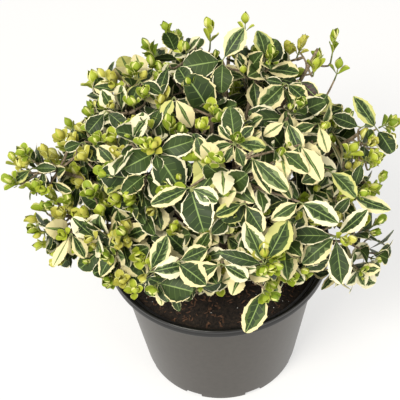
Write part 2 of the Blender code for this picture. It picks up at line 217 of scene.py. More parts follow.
# Sprays with a place of their own, in mm: the node, how many young shoots stand in it, and its leaves, each
# by its heading in the crown's front plane in degrees from +X, its length, its width and its variegation
SPRAYS = (
    ((9, 36, 307), 0, ((188, 28, 22, "thin"), (54, 27, 17, "half"), (266, 22, 17, "thin"))),
    ((-42, -44, 292), 2, ((206, 23, 20, "thin"), (303, 31, 27, "thin"), (14, 27, 17, "thin"),
                          (280, 11, 9, "thin"))),
    ((-18, -70, 282), 0, ((285, 31, 24, "thin"), (202, 28, 13, "half"), (330, 20, 14, "half"))),
    ((15, -42, 296), 1, ((352, 20, 12, "half"), (95, 24, 16, "thin"), (130, 15, 9, "half"),
                         (192, 18, 9, "half"), (290, 15, 10, "half"), (40, 16, 9, "half"),
                         (240, 13, 8, "half"))),
    ((26, -50, 290), 0, ((314, 34, 14, "half"), (296, 28, 11, "half"))),
    ((56, 22, 294), 0, ((221, 26, 18, "half"), (170, 12, 8, "thin"), (318, 20, 15, "half"))),
    ((66, 30, 290), 0, ((312, 19, 13, "plum"),)),
    ((126, 8, 256), 1, ((124, 29, 14, "half"), (300, 20, 16, "thin"))),
    ((114, 10, 256), 0, ((156, 21, 13, "thin"), (20, 10, 7, "thin"))),
    ((-140, -12, 248), 0, ((357, 17, 9, "thin"), (215, 15, 10, "half"))),
    ((-32, 38, 303), 0, ((250, 26, 10, "thin"),)),
    ((-54, 26, 298), 0, ((245, 15, 13, "thin"), (330, 16, 11, "thin"))),
    ((-80, 8, 286), 0, ((228, 19, 14, "thin"), (318, 18, 12, "thin"))),
    ((-97, -12, 274), 0, ((300, 14, 11, "thin"), (200, 13, 10, "thin"))),
    ((-50, -102, 228), 1, ((60, 27, 15, "half"), (10, 24, 17, "half"))),
    ((-46, -98, 210), 1, ((345, 26, 23, "thin"), (300, 14, 9, "thin"), (282, 15, 7, "cream"))),
    ((-30, -100, 236), 0, ((322, 25, 19, "half"), (20, 22, 14, "half"))),
    ((33, -102, 232), 3, ((112, 32, 16, "wide"), (59, 34, 20, "wide"), (164, 31, 11, "thin"))),
    ((33, -104, 205), 2, ((245, 33, 18, "tips"),)),
    ((2, -100, 232), 0, ((200, 24, 15, "half"), (330, 20, 14, "wide"))),
    ((88, -70, 222), 2, ((176, 32, 15, "thin"), (216, 30, 18, "half"), (275, 34, 18, "tips"),
                         (37, 29, 15, "half"))),
    ((102, -46, 240), 1, ((335, 30, 13, "half"), (225, 18, 9, "thin"))),
    ((84, -40, 262), 0, ((315, 26, 15, "half"), (200, 20, 12, "half"))),
    ((47, -44, 290), 0, ((280, 19, 12, "cream"), (320, 24, 14, "half"))),
    ((62, -38, 288), 0, ((300, 28, 15, "cream"), (240, 20, 11, "half"))),
    ((54, -18, 293), 0, ((290, 24, 14, "half"), (210, 18, 10, "cream"))),
    ((78, -10, 282), 0, ((285, 21, 10, "cream"), (200, 18, 11, "half"))),
    ((-28, 2, 303), 0, ((300, 24, 14, "cream"), (240, 17, 10, "cream"))),
    ((-112, -50, 214), 0, ((240, 27, 9, "cream"), (300, 20, 12, "half"))),
    ((60, -70, 262), 0, ((330, 30, 17, "wide"), (210, 22, 12, "wide"))),
    ((20, -78, 272), 0, ((200, 20, 11, "half"), (300, 22, 14, "half"))),
    ((112, -20, 250), 2, ((250, 18, 9, "thin"),)),
)

# Young shoots with a place of their own, in mm: the tip, the shoot's length and its pairs of small leaves
SHOOTS = (
    (3, 98, 301, 30, 2), (29, 98, 304, 26, 1), (46, 76, 290, 20, 3), (64, 82, 286, 18, 2),
    (76, 85, 290, 24, 3), (101, 80, 302, 36, 2), (107, 74, 272, 22, 1), (88, 82, 276, 18, 2),
    (-26, 70, 299, 28, 1), (-47, 60, 295, 16, 1), (-40, 56, 291, 14, 2), (-77, 45, 291, 18, 2),
    (-64, 50, 296, 18, 2), (-70, 34, 292, 14, 1), (-96, 22, 280, 18, 1), (-84, 20, 289, 18, 2),
    (-117, 2, 274, 18, 2), (-110, -4, 272, 14, 2), (-52, 16, 303, 16, 2), (-62, 8, 302, 16, 1),
    (-156, -6, 262, 22, 2), (-149, -12, 262, 18, 2), (-131, -8, 268, 20, 2), (-141, -24, 246, 16, 3),
    (-138, -24, 222, 16, 2), (-131, -27, 226, 16, 2), (-122, -36, 226, 16, 3), (-76, -20, 292, 16, 2),
    (-88, -16, 286, 16, 3), (-98, -22, 276, 16, 3), (-68, -34, 289, 16, 3), (-82, -42, 278, 16, 3),
    (-95, -46, 262, 16, 3), (141, 15, 262, 18, 3), (137, 4, 254, 14, 2), (118, 6, 258, 14, 1),
    (106, -14, 264, 22, 2), (124, -16, 250, 16, 3), (130, -22, 238, 14, 2), (92, -62, 240, 22, 3),
    (34, -100, 244, 14, 2), (44, -98, 240, 16, 3), (-76, -84, 200, 14, 3), (-66, -90, 196, 14, 2),
    (20, 60, 305, 20, 2), (36, 62, 300, 18, 2), (-8, -26, 305, 14, 3), (6, -20, 307, 14, 2),
    (84, 60, 286, 18, 2),
)

# Places that stay open between the crown's masses, in mm: the middle of each and its radius
OPENINGS = (
    ((-42, -75, 150), 20), ((-42, -97, 178), 19), ((-15, -85, 150), 22), ((-15, -108, 176), 20),
    ((12, -85, 150), 22), ((8, -108, 178), 18), ((46, -70, 150), 20), ((52, -92, 178), 15),
    ((62, -62, 150), 18), ((76, -84, 172), 14), ((30, 84, 300), 22), ((64, 88, 304), 22),
    ((86, 70, 298), 16), ((-8, 84, 304), 22), ((122, 34, 276), 16), ((-118, -46, 232), 14),
    ((-104, 20, 284), 14), ((-30, 66, 306), 14),
)

# Kinds of variegation: where the cream margin starts as a share of the half width, how unevenly it steps,
# how far cream fills the tip, and the tones of the middle, of the zone beside the margin, and of the margin
Kind = namedtuple("Kind", "margin jag tip darks mids cream")
DARKS = ("leaf_dark", "leaf_deep")
CREAMS = ("leaf_cream", "leaf_ivory", "leaf_pale")
OWN_CREAM_SHARE = 0.7
KINDS = {
    "thin": Kind(0.88, 0.04, 0.0, DARKS, ("leaf_deep", "leaf_dark"), "leaf_ivory"),
    "half": Kind(0.66, 0.16, 0.25, DARKS, ("leaf_green", "leaf_grey", "leaf_deep"), "leaf_cream"),
    "wide": Kind(0.55, 0.16, 0.45, DARKS, ("leaf_green", "leaf_grey"), "leaf_ivory"),
    "tips": Kind(0.84, 0.1, 0.7, ("leaf_dark",), ("leaf_deep", "leaf_green"), "leaf_ivory"),
    "cream": Kind(0.2, 0.08, 0.2, ("leaf_green", "leaf_deep"), ("leaf_grey", "leaf_pale"), "leaf_cream"),
    "plum": Kind(0.9, 0.04, 0.0, ("leaf_plum",), ("leaf_plum", "leaf_dark"), "leaf_cream"),
}

# Plain leaf colours, linear
LEAF_COLOURS = {
    "leaf_dark": (0.022, 0.042, 0.010),
    "leaf_deep": (0.035, 0.062, 0.014),
    "leaf_green": (0.068, 0.110, 0.022),
    "leaf_grey": (0.17, 0.23, 0.085),
    "leaf_vein": (0.075, 0.120, 0.030),
    "leaf_rib": (0.22, 0.31, 0.095),
    "leaf_plum": (0.045, 0.022, 0.024),
    "leaf_cream": (0.76, 0.68, 0.37),
    "leaf_ivory": (0.82, 0.77, 0.52),
    "leaf_pale": (0.56, 0.56, 0.19),
    "young_deep": (0.17, 0.25, 0.018),
    "young_green": (0.28, 0.37, 0.030),
    "young_lime": (0.42, 0.49, 0.050),
    "young_gold": (0.50, 0.48, 0.085),
    "young_edge": (0.72, 0.72, 0.26),
}
SLOTS = list(LEAF_COLOURS)
SLOT = {name: i for i, name in enumerate(SLOTS)}


def direction(azimuth, rise):
    a, r = math.radians(azimuth), math.radians(rise)
    return Vector((math.cos(a) * math.cos(r), math.sin(a) * math.cos(r), math.sin(r)))


def bezier(p0, p1, p2, p3, t):
    s = 1 - t
    return p0 * s**3 + p1 * (3 * s * s * t) + p2 * (3 * s * t * t) + p3 * t**3


def wall_radius(z):
    share = z / (POT_HEIGHT - POT_RIM_DEPTH)
    return POT_BASE_RADIUS + (POT_SHOULDER_RADIUS - POT_BASE_RADIUS) * share


def stem_axis(z):
    share = (z - SOIL_TOP) / (STEM_TOP - SOIL_TOP)
    return Vector((STEM_LEAN * share * share, 0, z))


def stem_radius(z):
    share = (z - SOIL_TOP) / (STEM_TOP - SOIL_TOP)
    plain = STEM_RADIUS + (STEM_TIP_RADIUS - STEM_RADIUS) * share
    return plain + (STEM_FLARE_RADIUS - STEM_RADIUS) * math.exp(-share * 12)


def mass_centre(mass):
    return CROWN_CENTRE + direction(mass.azimuth, mass.rise) * (mass.distance * MM)


def mass_axis(mass):
    return (mass_centre(mass) - FORK).normalized()


def bough_path(mass):
    """The bough's line, as in the solids, with more points along its bend."""
    axis = mass_axis(mass)
    end = mass_centre(mass) - axis * (MASS_ENTRY * mass.radius * MM)
    height = mass.root * MM
    if height >= STEM_TOP:
        start = stem_axis(STEM_TOP) + Vector((0, 0, GAP))
        out = Vector((0, 0, 1))
    else:
        out = end - stem_axis(height)
        out.z = 0
        out.normalize()
        start = stem_axis(height) + out * (stem_radius(height - BOUGH_ROOT_RADIUS) + GAP)
    near, far = start + out * BOUGH_END, end - axis * BOUGH_END
    span = (far - near).length
    first = near + out * min(0.34 * span, BOUGH_LEVEL_RUN)
    last = far - axis * (0.34 * span)
    steps = [i / (BOUGH_BENDS + 1) for i in range(BOUGH_BENDS + 2)]
    return [start] + [bezier(near, first, last, far, t) for t in steps] + [end]


CENTRES = [(mass_centre(m), m.radius * MM) for m in MASSES]


def own_space(mass, point):
    """How far a point lies inside the mass's own part of the crown."""
    k = MASSES.index(mass)
    centre, radius = CENTRES[k]
    here = (point - centre).length_squared - radius * radius
    found = radius + SPACE_SLACK - (point - centre).length
    for j, (middle, reach) in enumerate(CENTRES):
        if j != k:
            there = (point - middle).length_squared - reach * reach
            found = min(found, (there - here) / (2 * (middle - centre).length))
    return found


def clear_of_pot(points):
    radii = [math.hypot(p.x, p.y) for p in points]
    heights = [p.z for p in points]
    above = min(heights) > POT_HEIGHT + 1 * MM
    inside = max(radii) < POT_SHOULDER_RADIUS - 4 * MM and min(heights) > SOIL_TOP + 2.5 * MM
    outside = min(radii) > POT_RIM_RADIUS + 1 * MM
    return above or inside or outside


def mass_stem_path(mass):
    axis, radius = mass_axis(mass), mass.radius * MM
    start = bough_path(mass)[-1] + axis * GAP
    end = mass_centre(mass) + axis * (0.12 * radius) + Vector((0, 0, 0.08 * radius))
    return [start, start + axis * (0.35 * radius), end]


def twig_paths(mass, spacing, seed, bends):
    """The mass's twigs by the seeded rule of the solids, at any spacing of their tips."""
    rng = random.Random(seed)
    axis, centre = mass_axis(mass), mass_centre(mass)
    side = axis.orthogonal().normalized()
    other = axis.cross(side)
    reach = mass.radius * MM * (1 - TIP_INSET)
    stem = mass_stem_path(mass)
    depth = 1 - math.cos(WIDEST_TIP_ANGLE)
    count = max(5, round(2 * math.pi * reach * reach * depth / spacing**2))
    start_turn = rng.uniform(0, 2 * math.pi)
    twigs = []
    for i in range(count):
        fall = 1 - depth * (i + 0.35) / count
        turn = start_turn + i * GOLDEN_ANGLE + rng.uniform(-0.2, 0.2)
        across = math.sqrt(max(0, 1 - fall * fall))
        out = axis * fall + (side * math.cos(turn) + other * math.sin(turn)) * across
        tip = centre + out * (reach * rng.uniform(0.9, 1.04))
        along = 0.3 + 0.7 * max(0, fall)
        root = stem[0].lerp(stem[1], along * 2) if along < 0.5 else stem[1].lerp(stem[2], along * 2 - 1)
        span = (tip - root).length
        final = (out * 0.75 + Vector((0, 0, 0.55))).normalized()
        path = [
            bezier(root, root + axis * (0.3 * span), tip - final * (0.36 * span), tip, t / bends)
            for t in range(bends + 1)
        ]
        check = [path[(bends + 1) // 2], path[-1]]
        roomy = min(own_space(mass, p) for p in check) > 3 * MM and own_space(mass, tip) > 5 * MM
        if roomy and clear_of_pot(path):
            twigs.append(path)
    return twigs


def placed(data):
    """An object in the scene that holds the mesh, lamp or camera and has its name."""
    obj = bpy.data.objects.new(data.name, data)
    bpy.context.scene.collection.objects.link(obj)
    return obj


def joined(name, points, faces, marks, slots):
    """A mesh of the points and faces, each face with the material slot that its mark names."""
    mesh = bpy.data.meshes.new(name)
    mesh.from_pydata(points.tolist(), [], faces.tolist())
    mesh.polygons.foreach_set("material_index", marks)
    for slot in slots:
        mesh.materials.append(MATERIALS[slot])
    return mesh


class Builder:
    """Gathers many small meshes with material slots and writes them out as joined pieces."""

    def __init__(self, name, slots):
        self.name, self.slots = name, slots
        self.made = []
        self.clear()

    def clear(self):
        self.points, self.faces, self.marks, self.count, self.triangles = [], [], [], 0, 0

    def add(self, points, faces, marks):
        if self.triangles + 2 * len(faces) > MOST_TRIANGLES:
            self.write()
        self.points.append(points)
        self.faces.append(faces + self.count)
        self.marks.append(marks)
        self.count += len(points)
        self.triangles += 2 * len(faces)

    def write(self):
        if not self.points:
            return
        points, faces, marks = (np.concatenate(x) for x in (self.points, self.faces, self.marks))
        mesh = joined("%s_%d" % (self.name, len(self.made)), points, faces, marks, self.slots)
        mesh.polygons.foreach_set("use_smooth", np.ones(len(faces), bool))
        mesh.validate()
        self.made.append(placed(mesh))
        self.clear()


def grid_faces(rows, columns):
    """Quads of a leaf's grid of points."""
    a = (np.arange(rows - 1)[:, None] * columns + np.arange(columns - 1)[None, :]).reshape(-1)
    return np.stack([a, a + 1, a + columns + 1, a + columns], -1)


def leaf_outline(t, broadest, point=0.45):
    """Half a leaf's width along its length, as a share of its widest: narrow foot, round tip."""
    warped = t ** (math.log(0.5) / math.log(broadest))
    return np.sin(np.pi * warped) ** (0.9 + (point - 0.9) * t)


def vein_stations():
    """Places along the midrib where a leaf's rows of faces end. Every second row is a lateral vein."""
    found = [0.02]
    for i in range(LEAF_VEINS):
        middle = FIRST_VEIN + VEIN_STEP * i
        found += [middle - VEIN_SHARE, middle + VEIN_SHARE]
    return np.array(found + [0.89, 0.985])


MATURE_ROWS = vein_stations()
MATURE_COLUMNS = 9
MATURE_FACES = grid_faces(len(MATURE_ROWS), MATURE_COLUMNS)
YOUNG_COLUMNS = 5
YOUNG_FACES = grid_faces(YOUNG_STATIONS + 1, YOUNG_COLUMNS)


def basis(along, face):
    """Rows of a leaf's own axes: along it, across it, and out of its upper face."""
    along = along.normalized()
    across = face.cross(along)
    if across.length < 1e-6:
        across = along.orthogonal()
    across.normalize()
    return np.array([along, across, along.cross(across).normalized()])


def mature_leaf(root, along, face, length, width, rng, look):
    """A variegated leaf: dark middle, paler zone and cream margin, stepping unevenly along the veins."""
    rows, n = MATURE_ROWS, len(MATURE_ROWS)
    broadest = rng.uniform(0.47, 0.6)
    shares = np.zeros((n, MATURE_COLUMNS))
    margin, jag = look["margin"], look["jag"]
    for side in (-1, 1):
        step = [rng.uniform(-jag, jag) for _ in range(LEAF_VEINS + 2)]
        jump = np.array([step[(i + 1) // 2] + rng.uniform(-0.35, 0.35) * jag for i in range(n)])
        lean = rng.uniform(-0.5, 0.5) * jag
        edge = np.clip(margin + jump + lean - look["tip"] * rows**3, 0.13, 0.94)
        inner = edge * np.clip(0.72 + np.array([rng.uniform(-0.3, 0.28) for _ in range(n)]), 0.2, 0.97)
        inner = np.maximum(inner, 0.08)
        for k, share in ((1, np.full(n, RIB_SHARE)), (2, inner), (3, edge), (4, np.ones(n))):
            shares[:, 4 + side * k] = side * share
    v = np.abs(shares)
    t = np.clip(rows[:, None] + VEIN_SLANT * v * np.sin(np.pi * rows[:, None]) ** 0.8, 0, 1)
    t[-1] -= 0.03 * v[-1] ** 2
    half = leaf_outline(t, broadest, look["point"]) * width / 2
    teeth = np.where(np.arange(n) % 2 == 0, TOOTH_OUT, TOOTH_IN)
    teeth[0] = teeth[-1] = 1
    across = shares * half * (1 + (teeth - 1)[:, None] * v**4)
    spread = np.abs(across) / (width / 2)
    phase = rng.uniform(0, 6.3)
    wave = look["wave"] * np.sin(t * math.pi * rng.uniform(2.0, 4.0) + phase + np.sign(shares)) * spread**2
    sunk = np.where(np.arange(n) % 2 == 1, 0, VEIN_DEPTH)
    height = look["cup"] * spread**1.3 * (width / 2) + wave * width + sunk[:, None] * (v > 0.06) * (v < 0.9)
    x = t * length * (1 - 0.1 * abs(look["droop"]))
    z = height - look["droop"] * length * t**2 + 0.04 * length * np.sin(np.pi * t)
    twist = look["twist"] * t
    y2, z2 = across * np.cos(twist) - z * np.sin(twist), across * np.sin(twist) + z * np.cos(twist)
    points = np.stack([x, y2, z2], -1).reshape(-1, 3) @ basis(along, face) + np.array(root)
    plain = [look["cream"], look["mid"], look["dark"], "leaf_rib"]
    veined = [look["cream"], look["mid"], "leaf_vein", "leaf_rib"]
    bands = [[SLOT[tone] for tone in half + half[::-1]] for half in (plain, veined)]
    return points, MATURE_FACES, np.array([bands[i % 2] for i in range(n - 1)]).reshape(-1)


def young_marks(inner, outer):
    return np.tile(np.array([SLOT[outer], SLOT[inner], SLOT[inner], SLOT[outer]]), YOUNG_STATIONS)


def young_leaf(root, along, face, length, width, rng, inner, outer, cup, droop):
    """A small spoon-shaped leaf with a pale edge, hollow on its upper face."""
    n = YOUNG_STATIONS + 1
    t = np.linspace(0.02, 0.975, n)
    half = leaf_outline(t, 0.6, 0.5) * width / 2
    edge = rng.uniform(0.7, 0.86)
    shares = np.array([-1, -edge, 0, edge, 1])
    across = half[:, None] * shares[None, :]
    v = np.abs(across) / (width / 2)
    height = cup * v**1.4 * (width / 2)
    x = t * length
    x = x[:, None] - np.where(np.arange(n) == n - 1, 0.05, 0)[:, None] * np.abs(shares) * length
    z = -(t**2) * droop * length + 0.10 * length * np.sin(t * math.pi)
    points = np.stack([x, across * (1 - 0.12 * cup * v), z[:, None] + height], -1).reshape(-1, 3)
    points = points @ basis(along, face) + np.array(root)
    return points, YOUNG_FACES, young_marks(inner, outer)


def bud_scale(root, axis, out, length, radius, opening, inner, outer):
    """Half the shell of a closed bud: a small leaf wrapped round the shoot's axis."""
    t = np.linspace(0.0, 1.0, YOUNG_STATIONS + 1)
    swell = np.array(BUD_SWELL) * radius
    turns = np.radians(np.array(BUD_WRAP))[None, :]
    lift = opening * t[:, None] ** 2 * radius
    out_way = np.cos(turns) * swell[:, None] + lift
    across = np.sin(turns) * swell[:, None] * (1 - 0.1 * t[:, None])
    x = t[:, None] ** 0.9 * length * (1 - 0.08 * np.abs(np.sin(turns)) * t[:, None])
    axes = np.array([axis, axis.cross(out), out])
    points = np.stack([x, across, out_way], -1).reshape(-1, 3) @ axes + np.array(root)
    return points, YOUNG_FACES, young_marks(inner, outer)


def tube(points, radii, sides, slot):
    """A tapering round tube through the points, closed at both ends by a ring drawn to its middle."""
    rings = []
    up = (points[1] - points[0]).orthogonal().normalized()
    for i, point in enumerate(points):
        ahead = (points[min(i + 1, len(points) - 1)] - points[max(i - 1, 0)]).normalized()
        up = (up - ahead * up.dot(ahead)).normalized()
        across = ahead.cross(up)
        turns = [2 * math.pi * k / sides for k in range(sides)]
        ring = [point + (up * math.cos(a) + across * math.sin(a)) * radii[i] for a in turns]
        rings.append([tuple(p) for p in ring])
    ends = [[tuple(points[0])] * sides, [tuple(points[-1])] * sides]
    rings = [ends[0]] + rings + [ends[1]]
    flat = np.array(rings).reshape(-1, 3)
    faces = []
    for i in range(len(rings) - 1):
        for k in range(sides):
            a, b = i * sides + k, i * sides + (k + 1) % sides
            faces.append((a, b, b + sides, a + sides))
    return flat, np.array(faces), np.full(len(faces), slot)


class Crowd:
    """Remembers where leaves stand, so that no two lie on the same spot."""

    def __init__(self, cell):
        self.cell, self.grid = cell, {}

    def key(self, p):
        return tuple(int(math.floor(c / self.cell)) for c in p)

    def near(self, p, reach):
        x, y, z = self.key(p)
        for i in (-1, 0, 1):
            for j in (-1, 0, 1):
                for k in (-1, 0, 1):
                    for q in self.grid.get((x + i, y + j, z + k), ()):
                        if (q - p).length < reach:
                            return True
        return False

    def add(self, p):
        self.grid.setdefault(self.key(p), []).append(p)


def principled(name, colour, roughness, specular=0.5):
    made = bpy.data.materials.new(name)
    made.use_nodes = True
    shader = made.node_tree.nodes["Principled BSDF"]
    shader.inputs["Base Color"].default_value = (*colour, 1)
    shader.inputs["Roughness"].default_value = roughness
    shader.inputs["Specular IOR Level"].default_value = specular
    return made


def textured(name, dark, light, scale, roughness, bump, detail=8.0, distance=0.4 * MM):
    """A material whose colour and relief follow noise of the given scale, per metre."""
    made = principled(name, light, roughness)
    nodes, links = made.node_tree.nodes, made.node_tree.links
    shader = nodes["Principled BSDF"]
    place = nodes.new("ShaderNodeTexCoord")
    spots = nodes.new("ShaderNodeTexNoise")
    spots.inputs["Scale"].default_value = scale
    spots.inputs["Detail"].default_value = detail
    ramp = nodes.new("ShaderNodeValToRGB")
    ramp.color_ramp.elements[0].position = 0.35
    ramp.color_ramp.elements[0].color = (*dark, 1)
    ramp.color_ramp.elements[1].position = 0.68
    ramp.color_ramp.elements[1].color = (*light, 1)
    relief = nodes.new("ShaderNodeBump")
    relief.inputs["Strength"].default_value = bump
    relief.inputs["Distance"].default_value = distance
    links.new(place.outputs["Object"], spots.inputs["Vector"])
    links.new(spots.outputs["Fac"], ramp.inputs["Fac"])
    links.new(ramp.outputs["Color"], shader.inputs["Base Color"])
    links.new(spots.outputs["Fac"], relief.inputs["Height"])
    links.new(relief.outputs["Normal"], shader.inputs["Normal"])
    return made


LEAF_ROUGHNESS = 0.5
LEAF_SPECULAR = 0.25
SMOOTH_DEPTH = 0.2 * MM
SOIL_DEPTH = 2 * MM
MATERIALS = {
    name: principled(name, tone, LEAF_ROUGHNESS, LEAF_SPECULAR) for name, tone in LEAF_COLOURS.items()
}
MATERIALS["twig_green"] = textured("twig_green", (0.16, 0.2, 0.06), (0.34, 0.38, 0.14), 500, 0.55, 0.3)
MATERIALS["bark"] = textured("bark", (0.13, 0.095, 0.06), (0.36, 0.28, 0.18), 450, 0.85, 0.6)
MATERIALS["pot"] = textured(
    "pot", (0.03, 0.024, 0.017), (0.039, 0.032, 0.024),
    220, 0.34, 0.08, 6, SMOOTH_DEPTH
)
MATERIALS["rim"] = textured(
    "rim", (0.003, 0.003, 0.003), (0.006, 0.006, 0.006),
    300, 0.3, 0.08, 6, SMOOTH_DEPTH
)
MATERIALS["speck"] = principled("speck", (0.62, 0.62, 0.6), 0.7)
MATERIALS["soil"] = textured(
    "soil", (0.006, 0.004, 0.003), (0.035, 0.022, 0.014),
    380, 0.95, 1, 12, SOIL_DEPTH
)
MATERIALS["chip"] = textured("chip", (0.05, 0.022, 0.012), (0.17, 0.085, 0.045), 300, 0.9, 0.6)
MATERIALS["crumb"] = textured("crumb", (0.007, 0.005, 0.004), (0.03, 0.02, 0.014), 300, 0.95, 0.8)


class Grower:
    """Holds the leaves, young leaves and twigs as they grow, and the room that is taken or kept free."""

    def __init__(self):
        self.mature, self.young = Builder("mature_leaves", SLOTS), Builder("young_leaves", SLOTS)
        self.twigs = Builder("twigs", ["bark", "twig_green"])
        self.crowd = Crowd(10 * MM)
        self.joints = []
        self.clear = [(Vector(middle) * MM, radius * MM) for middle, radius in OPENINGS]

    def kept_clear(self, *points):
        """Whether any of the points lies in an opening, or in the room kept free before a placed spray."""
        return any((p - middle).length < reach for middle, reach in self.clear for p in points)


def in_reach(points):
    low, high = CAD_BOX
    past = REACH_PAST_SOLIDS
    return all(low[i] - past < p[i] < high[i] + past for p in points for i in range(3))


def leaf_look(kind, rng):
    """Colours and form of one leaf of a kind."""
    plan = KINDS[kind]
    return {
        "margin": min(0.93, plan.margin + rng.uniform(-0.07, 0.05)),
        "jag": plan.jag,
        "tip": plan.tip * rng.uniform(0.5, 1.2),
        "dark": rng.choice(plan.darks),
        "mid": rng.choice(plan.mids),
        "cream": plan.cream if rng.random() < OWN_CREAM_SHARE else rng.choice(CREAMS),
        "cup": rng.uniform(0.05, 0.3),
        "droop": rng.uniform(0.02, 0.25),
        "wave": rng.uniform(0.015, 0.06),
        "twist": rng.uniform(-0.3, 0.3),
        "point": rng.uniform(0.4, 0.6) if kind in ("thin", "plum") else rng.uniform(0.5, 0.85),
    }


def shoot_kind(mass, rng):
    """The kind of variegation that most leaves of one shoot have."""
    if rng.random() < mass.cream:
        return rng.choices(("half", "wide", "cream", "tips"), (6, 3, 2, 2))[0]
    return "thin"


def grow_leaves():
    """Every mass's shoots with their mature leaf pairs, young leaves and buds, joined by kind."""
    g = Grower()
    limbs = []
    for mass in MASSES:
        rng = random.Random(mass.seed + KEPT_SEED)
        stem = mass_stem_path(mass)
        kept = max(mass.fill, LEAST_TWIGS)
        twigs = twig_paths(mass, TIP_SPACING, mass.seed, TWIG_BENDS)
        main = [path for path in twigs if rng.random() < kept]
        limbs.append((mass, min(1, mass.radius / PLAIN_MASS_RADIUS), stem, main))
        g.joints += [q for twig in main for q in twig[1:4]] + [stem[1]]
    rng = random.Random(SPRAY_SEED)
    for node, young, leaves in SPRAYS:
        placed_spray(g, Vector(node) * MM, young, leaves, rng)
    for x, y, z, length, pairs in SHOOTS:
        placed_shoot(g, Vector((x, y, z)) * MM, length * MM, pairs, rng)
    for mass, share, stem, main in limbs:
        rng = random.Random(mass.seed + SHOOT_SEED)
        g.twigs.add(*tube(stem, (MASS_STEM_RADIUS, MASS_STEM_RADIUS * 0.85, TWIG_RADIUS), 7, 0))
        spacing = FINE_TIP_SPACING * share * (1 - 0.3 * mass.young)
        thick = [TWIG_RADIUS * (1 - 0.09 * i) for i in range(TWIG_BENDS + 1)]
        thin = [TWIG_TIP_RADIUS * (1.15 - 0.06 * i) for i in range(TWIG_BENDS + 1)]
        for path in main:
            g.twigs.add(*tube(path, thick, 6, 0))
            if rng.random() < mass.fill and not g.kept_clear(path[-1]):
                grow_shoot(g, mass, path, share, rng)
        for path in twig_paths(mass, spacing, mass.seed + FINE_SEED, TWIG_BENDS):
            path = side_twig(path, main)
            if rng.random() < mass.fill and not g.kept_clear(path[-1]):
                g.twigs.add(*tube(path, thin, 5, 0))
                grow_shoot(g, mass, path, share, rng)
    for builder in (g.mature, g.young, g.twigs):
        builder.write()
    for obj in g.mature.made + g.young.made:
        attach(obj, "root")
    for obj in g.twigs.made:
        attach(obj, "root")
    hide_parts(*["leaves_" + m.name for m in MASSES])


def twig_line(root, end, ahead, bends):
    """A bent line from root to end that arrives in the heading ahead."""
    before = end - ahead * (0.35 * (end - root).length)
    return [bezier(root, root.lerp(end, 0.3), before, end, i / bends) for i in range(bends + 1)]


def twig_to(g, end, ahead):
    """A twig from the nearest joint of any mass to a placed node, ending in that heading."""
    root = min((q for q in g.joints if q.z < end.z + 12 * MM), key=lambda q: (q - end).length)
    path = twig_line(root, end, ahead, PLACED_TWIG_BENDS)
    g.twigs.add(*tube(path, [TWIG_RADIUS * (1 - 0.07 * i) for i in range(len(path))], 6, 0))


def placed_spray(g, node, young, leaves, rng):
    outward = (node - CROWN_CENTRE).normalized()
    ahead = (outward + FRONT_OUT * 0.5).normalized()
    twig_to(g, node, ahead)
    for turn, length, width, kind in leaves:
        a = math.radians(turn)
        along = FRONT_RIGHT * math.cos(a) + FRONT_UP * math.sin(a) + FRONT_OUT * rng.uniform(0.0, 0.25)
        along.normalize()
        face = FRONT_OUT + FRONT_RIGHT * rng.uniform(-0.3, 0.3) + FRONT_UP * rng.uniform(-0.3, 0.3)
        face.normalize()
        foot = node + along * PETIOLE
        length, width = length * MM, width * MM
        look = leaf_look(kind, rng)
        look["twist"] *= 0.5
        g.mature.add(*mature_leaf(foot, along, face, length, width, rng, look))
        g.twigs.add(*tube([node, foot + along * (0.03 * length)], (0.6 * MM, 0.5 * MM), 4, 1))
        middle = foot + along * (0.5 * length)
        across = face.cross(along).normalized() * (0.3 * width)
        for spot in (middle, middle + across, middle - across, foot + along * (0.85 * length)):
            g.crowd.add(spot)
        for k in range(3):
            g.clear.append((middle + FRONT_OUT * (0.35 + 0.7 * k) * length, 0.52 * length))
    for k in range(young):
        lean = (ahead + FRONT_RIGHT * (0.5 * (k - (young - 1) / 2)) + Vector((0, 0, 0.3))).normalized()
        fresh_shoot(g, node + lean * 2 * MM, lean, 9 * MM, rng.choice((1, 2)), 0.85, rng, 0.4)


def placed_shoot(g, tip, length, pairs, rng):
    outward = (tip - CROWN_CENTRE).normalized()
    ahead = (outward * 0.35 + Vector((rng.uniform(-0.12, 0.12), 0, 1))).normalized()
    foot = tip - ahead * length
    twig_to(g, foot, ahead)
    fresh_shoot(g, foot, ahead, length - BUD_LENGTH, pairs, 1.0, rng, 0.6)
    for k in range(3):
        g.clear.append((foot.lerp(tip, 0.5 * k), 8 * MM))


